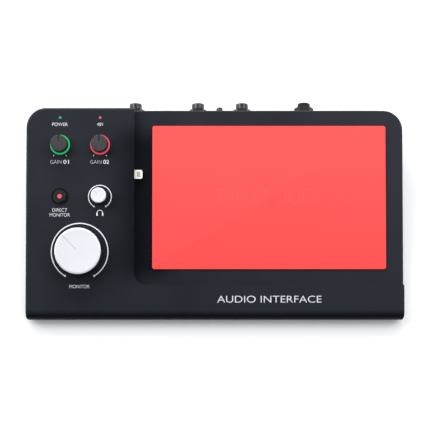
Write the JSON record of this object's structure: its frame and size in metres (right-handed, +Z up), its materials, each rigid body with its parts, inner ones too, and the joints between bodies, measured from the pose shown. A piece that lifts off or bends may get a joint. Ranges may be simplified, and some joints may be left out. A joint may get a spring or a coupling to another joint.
{
  "type": "audio interface",
  "caption": "Desktop audio interface with a sunken tablet tray, a sliding dock plug, turning gain, headphone and monitor knobs, and rear sockets.",
  "frame": {"origin": "centre of the bounding box's base, on the desk", "axes": "+X to the right along the width, +Y from the front edge to the rear sockets, +Z up"},
  "size_m": [0.289, 0.1696, 0.0508],
  "materials": {
    "case_black": "soft-touch",
    "base_black": "fine texture",
    "panel_black": "fine texture",
    "silicone_red": "matte",
    "knob_black": "matte",
    "cap_silver": "spun satin",
    "halo_green": "frosted",
    "halo_red": "frosted",
    "lens_green": "clear tinted",
    "lens_red": "clear tinted",
    "button_black": "gloss",
    "steel": "satin",
    "dark_metal": "black nickel",
    "foot_rubber": "matte",
    "board_green": "solder resist",
    "chip_black": "moulded",
    "housing_black": "moulded",
    "plug_white": "gloss",
    "ribbon_grey": "matte"
  },
  "bodies": {
    "case": {"top_cover": "case_black", "bottom_cover": "base_black", "rear_panel": "panel_black", "case_screws": "steel", "foot_front_left": "foot_rubber", "foot_front_right": "foot_rubber", "foot_rear_left": "foot_rubber", "foot_rear_right": "foot_rubber", "tablet_pad": "silicone_red", "gain_1_pot": "housing_black", "gain_1_halo": "halo_green", "gain_2_pot": "housing_black", "gain_2_halo": "halo_red", "headphone_pot": "housing_black", "monitor_pot": "housing_black", "monitor_nut": "steel", "direct_bezel": "button_black", "direct_switch": "housing_black", "power_led_lens": "lens_green", "phantom_led_lens": "lens_red", "control_board": "board_green", "guide_rods": "steel", "instrument_jack": "dark_metal", "left_output_jack": "dark_metal", "right_output_jack": "dark_metal", "headphone_jack": "housing_black", "jack_washers": "dark_metal", "jack_nuts": "dark_metal", "headphone_jack_nut": "housing_black", "mic_socket_1": "housing_black", "mic_socket_2": "housing_black", "phantom_switch": "housing_black", "power_switch": "housing_black", "dc_socket": "housing_black", "dc_pin": "steel", "usb_shell": "steel", "usb_tongue": "housing_black", "main_board": "board_green", "board_parts": "chip_black", "board_screws": "steel", "ribbon_headers": "housing_black", "ribbon_cable": "ribbon_grey"},
    "gain_1_control": {"gain_1_knob": "knob_black", "gain_1_shaft": "steel"},
    "gain_2_control": {"gain_2_knob": "knob_black", "gain_2_shaft": "steel"},
    "headphone_control": {"headphone_knob": "knob_black", "headphone_cap": "cap_silver", "headphone_shaft": "steel"},
    "monitor_control": {"monitor_knob": "knob_black", "monitor_cap": "cap_silver", "monitor_shaft": "steel"},
    "direct_push": {"direct_button": "button_black", "direct_lens": "lens_red"},
    "phantom_push": {"phantom_button": "button_black"},
    "latch_1": {"mic_latch_1": "steel"},
    "latch_2": {"mic_latch_2": "steel"},
    "power_toggle": {"power_rocker": "button_black"},
    "dock_connector": {"dock_plug": "plug_white", "plug_carriage": "housing_black"}
  },
  "joints": [
    {"name": "gain_1_turn", "type": "hinge", "parent": "case", "child": "gain_1_control", "pos_m": [-0.1185, 0.04534, 0.03996], "axis": [0, -0.1736, 0.9848], "range_deg": [-150, 150]},
    {"name": "gain_2_turn", "type": "hinge", "parent": "case", "child": "gain_2_control", "pos_m": [-0.0879, 0.04534, 0.03996], "axis": [0, -0.1736, 0.9848], "range_deg": [-150, 150]},
    {"name": "headphone_turn", "type": "hinge", "parent": "case", "child": "headphone_control", "pos_m": [-0.0879, 0.00605, 0.03303], "axis": [0, -0.1736, 0.9848], "range_deg": [-195, 105]},
    {"name": "monitor_turn", "type": "hinge", "parent": "case", "child": "monitor_control", "pos_m": [-0.1032, -0.03531, 0.02574], "axis": [0, -0.1736, 0.9848], "range_deg": [-195, 105]},
    {"name": "direct_press", "type": "slide", "parent": "case", "child": "direct_push", "axis": [0, 0.1736, -0.9848], "range_m": [0, 0.0012], "stiffness_N_per_m": 800, "springref_m": -0.0003},
    {"name": "phantom_press", "type": "slide", "parent": "case", "child": "phantom_push", "axis": [0, -1, 0], "range_m": [0, 0.002], "stiffness_N_per_m": 500, "springref_m": -0.0003},
    {"name": "latch_1_press", "type": "slide", "parent": "case", "child": "latch_1", "axis": [0, -1, 0], "range_m": [0, 0.0008], "stiffness_N_per_m": 600, "springref_m": -0.0003},
    {"name": "latch_2_press", "type": "slide", "parent": "case", "child": "latch_2", "axis": [0, -1, 0], "range_m": [0, 0.0008], "stiffness_N_per_m": 600, "springref_m": -0.0003},
    {"name": "power_rock", "type": "hinge", "parent": "case", "child": "power_toggle", "pos_m": [0.103, 0.07465, 0.019], "axis": [0, 0, 1], "range_deg": [0, 20]},
    {"name": "connector_slide", "type": "slide", "parent": "case", "child": "dock_connector", "axis": [0, 0.9848, 0.1736], "range_m": [-0.0174, 0.0081]}
  ]
}
